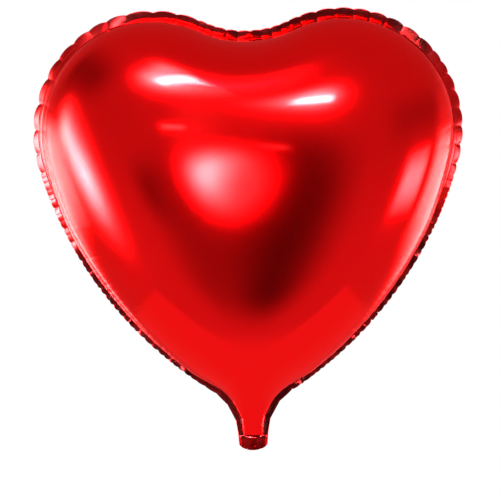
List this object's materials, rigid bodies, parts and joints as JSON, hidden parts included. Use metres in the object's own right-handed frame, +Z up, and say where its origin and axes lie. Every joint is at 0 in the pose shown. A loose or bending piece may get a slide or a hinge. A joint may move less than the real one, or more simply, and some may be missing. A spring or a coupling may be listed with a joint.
{
  "type": "heart-shaped foil balloon",
  "caption": "Inflated heart-shaped foil balloon with a scalloped welded rim, self-sealing valve strips inside and a short filling tail that folds at the neck.",
  "frame": {"origin": "middle of the neck at the crease where a ribbon is tied, halfway between the two panels", "axes": "+Z up from the tie to the dip between the lobes, -Y out of the front panel, +X to the viewer's right"},
  "size_m": [0.36, 0.16, 0.3683],
  "materials": {
    "foil": "metallised plastic film, mirror gloss, red",
    "welded_foil": "heat-welded metallised film, gathered, red",
    "valve_film": "clear soft film",
    "release_print": "thin heat-resistant print"
  },
  "bodies": {
    "balloon": {"front_panel": "foil", "back_panel": "foil", "rim_weld": "welded_foil"},
    "tail": {"tail_front_foil": "foil", "tail_back_foil": "foil", "tail_weld": "welded_foil", "inlet_front_strip": "valve_film", "inlet_back_strip": "valve_film"},
    "valve_front": {"valve_front_strip": "valve_film"},
    "valve_back": {"valve_back_strip": "valve_film", "valve_release_print": "release_print"}
  },
  "joints": [
    {"name": "tail_fold", "type": "hinge", "parent": "balloon", "child": "tail", "pos_m": [0, 0, -0.00095], "axis": [1, 0, 0], "range_deg": [-90, 90]},
    {"name": "valve_front_open", "type": "hinge", "parent": "balloon", "child": "valve_front", "pos_m": [0, -0.0002, 0.002], "axis": [1, 0, 0], "range_deg": [0, 4], "stiffness_Nm_per_rad": 0.004, "springref_deg": -2.86},
    {"name": "valve_back_open", "type": "hinge", "parent": "balloon", "child": "valve_back", "pos_m": [0, 0.0002, 0.002], "axis": [1, 0, 0], "range_deg": [-4, 0], "stiffness_Nm_per_rad": 0.004, "springref_deg": 2.86}
  ],
  "couplings": [
    {"joint": "valve_back_open", "follows": "valve_front_open", "ratio": -1}
  ]
}
